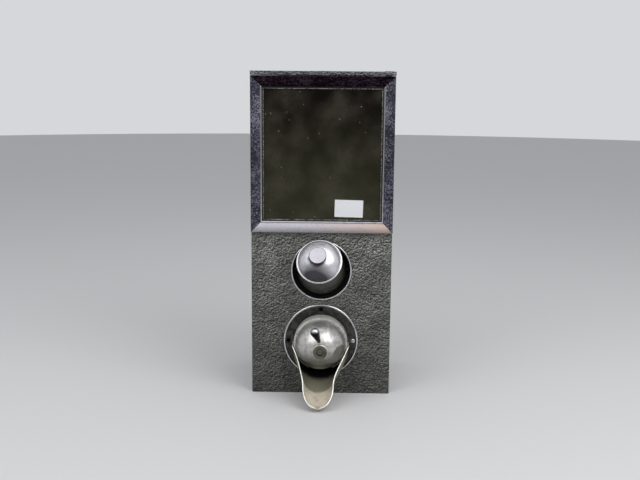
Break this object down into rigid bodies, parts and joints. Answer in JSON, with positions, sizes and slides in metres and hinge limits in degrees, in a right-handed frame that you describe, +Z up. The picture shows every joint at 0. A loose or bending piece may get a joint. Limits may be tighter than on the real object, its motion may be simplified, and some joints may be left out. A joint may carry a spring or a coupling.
{
  "type": "gumball machine",
  "caption": "Gumball machine: steel cabinet with a framed window and hinged lid, a press-down knob geared to a dispensing drum, and a turning dome over an open spout.",
  "frame": {"origin": "centre of the cabinet's underside, on the surface it stands on", "axes": "+Z up, -Y out of the front face, +X to the right of someone who faces the front"},
  "size_m": [0.202, 0.2475, 0.4637],
  "materials": {
    "hammered_paint": "hammered dark grey paint",
    "lid_paint": "hammered mid grey paint",
    "frame_chrome": "worn and pitted chrome plate",
    "window_glass": "plain window glass",
    "nickel": "satin nickel plate",
    "dark_nickel": "dulled nickel plate",
    "spout_nickel": "warm nickel plate, polished by use",
    "zinc_sheet": "zinc plated sheet steel",
    "hopper_paint": "dark olive enamel",
    "cast_metal": "sand cast aluminium",
    "drum_metal": "turned aluminium",
    "gear_brass": "cut brass",
    "shaft_steel": "ground steel",
    "screw_steel": "zinc plated steel",
    "spring_steel": "drawn spring wire",
    "hinge_steel": "plain steel",
    "lock_chrome": "bright chrome plate"
  },
  "bodies": {
    "cabinet": {"front_panel": "hammered_paint", "left_wall": "hammered_paint", "right_wall": "hammered_paint", "back_panel": "hammered_paint", "base_plate": "hammered_paint", "back_screws": "screw_steel", "window_frame_top": "frame_chrome", "window_frame_bottom": "frame_chrome", "window_frame_left": "frame_chrome", "window_frame_right": "frame_chrome", "window_glass": "window_glass", "glass_retainer": "zinc_sheet", "cabinet_hinge_leaf": "hinge_steel", "hinge_pin": "hinge_steel", "lid_strike": "zinc_sheet", "coin_channel": "zinc_sheet", "channel_spacers": "zinc_sheet", "hopper": "hopper_paint", "hopper_funnel": "hopper_paint", "mechanism_shelf": "zinc_sheet", "drum_housing": "cast_metal", "drum_cap_left": "cast_metal", "drum_cap_right": "cast_metal", "delivery_tube": "zinc_sheet", "lever_escutcheon": "nickel", "lever_bracket_left": "zinc_sheet", "lever_bracket_right": "zinc_sheet", "return_spring": "spring_steel", "spring_anchor": "zinc_sheet", "outlet_escutcheon": "dark_nickel", "escutcheon_screws": "screw_steel", "outlet_collar": "nickel", "dome_spindle": "shaft_steel", "dome_screw": "screw_steel", "outlet_spout": "spout_nickel", "drawer_strike": "zinc_sheet", "drawer_guides": "zinc_sheet"},
    "lid": {"lid": "lid_paint", "lid_hinge_leaf": "hinge_steel", "lid_lock_body": "lock_chrome", "coin_slot_plate": "lock_chrome"},
    "lid_lock": {"lid_lock_plug": "lock_chrome"},
    "lever": {"lever_shaft": "shaft_steel", "lever_ball": "dark_nickel", "knob_stud": "shaft_steel", "knob_nut": "shaft_steel", "knob_dome": "nickel", "knob_boss": "nickel", "sector_gear": "gear_brass", "spring_arm": "zinc_sheet"},
    "drum": {"drum": "drum_metal", "drum_shaft": "shaft_steel", "drum_pinion": "gear_brass"},
    "outlet_dome": {"outlet_dome": "nickel", "dome_boss": "nickel", "dome_handle": "nickel"},
    "cash_drawer": {"cash_drawer": "hammered_paint", "drawer_lock_body": "lock_chrome"},
    "drawer_lock": {"drawer_lock_plug": "lock_chrome"}
  },
  "joints": [
    {"name": "lid_hinge", "type": "hinge", "parent": "cabinet", "child": "lid", "pos_m": [0, 0.0829, 0.4575], "axis": [-1, 0, 0], "range_deg": [0, 100]},
    {"name": "lid_lock_turn", "type": "hinge", "parent": "lid", "child": "lid_lock", "pos_m": [0, -0.054, 0.455], "axis": [0, 0, 1], "range_deg": [0, 90]},
    {"name": "lever_press", "type": "hinge", "parent": "cabinet", "child": "lever", "pos_m": [0, -0.072, 0.183], "axis": [1, 0, 0], "range_deg": [0, 60], "stiffness_Nm_per_rad": 0.6, "springref_deg": -51.57, "deforming": ["return_spring"]},
    {"name": "drum_turn", "type": "hinge", "parent": "cabinet", "child": "drum", "pos_m": [0, -0.0071, 0.15678], "axis": [1, 0, 0], "range_deg": [-180, 0]},
    {"name": "outlet_dome_turn", "type": "hinge", "parent": "cabinet", "child": "outlet_dome", "pos_m": [0, -0.102, 0.08], "axis": [0, 1, 0], "range_deg": [-95, 95]},
    {"name": "cash_drawer_slide", "type": "slide", "parent": "cabinet", "child": "cash_drawer", "axis": [1, 0, 0], "range_m": [0, 0.07]},
    {"name": "drawer_lock_turn", "type": "hinge", "parent": "cash_drawer", "child": "drawer_lock", "pos_m": [0.1, -0.0185, 0.0324], "axis": [1, 0, 0], "range_deg": [0, 90]}
  ],
  "couplings": [
    {"joint": "drum_turn", "follows": "lever_press", "ratio": -3}
  ]
}
